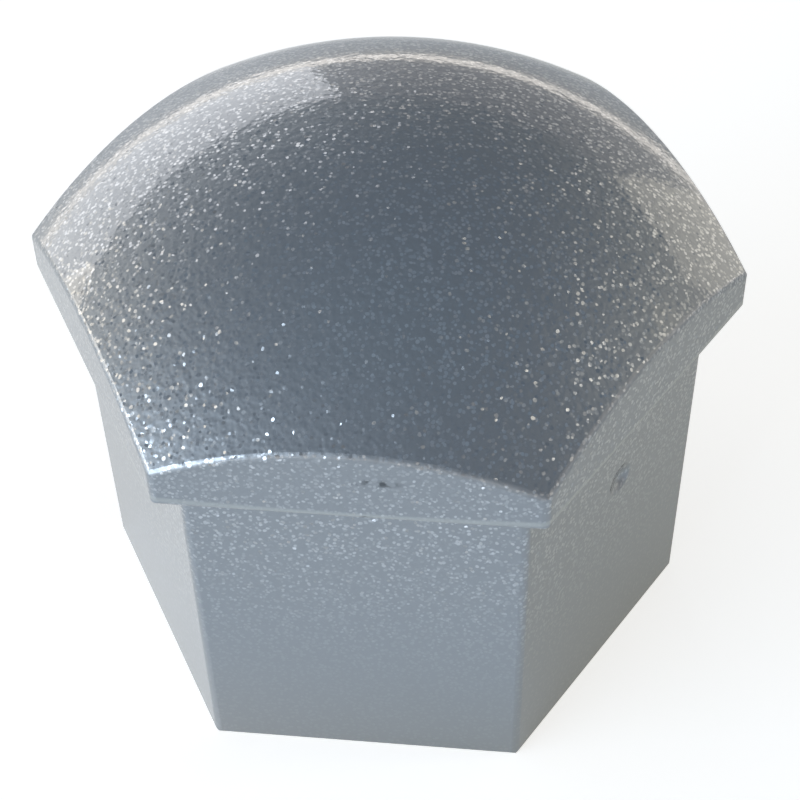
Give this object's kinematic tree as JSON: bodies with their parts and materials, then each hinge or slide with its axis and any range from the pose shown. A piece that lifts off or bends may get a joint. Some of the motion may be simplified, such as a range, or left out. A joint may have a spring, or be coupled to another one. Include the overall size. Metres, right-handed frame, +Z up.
{
  "type": "wheel nut cover cap",
  "caption": "Push-on cover cap for a wheel nut, in silver metallic plastic: a hexagonal socket with grip ribs under a wider hexagonal head with a domed top.",
  "frame": {"origin": "middle of the rim, on the plane the cap stands on", "axes": "+Z up along the socket's axis to the top of the dome; two flats of the hexagon face -Y and +Y, and two of its corners lie on the X axis"},
  "size_m": [0.0254, 0.0222, 0.0209],
  "materials": {
    "silver_plastic": "moulded silver plastic with fine metal flake, slightly pebbled and softly glossy"
  },
  "bodies": {
    "root": {"cap": "silver_plastic"}
  },
  "joints": []
}
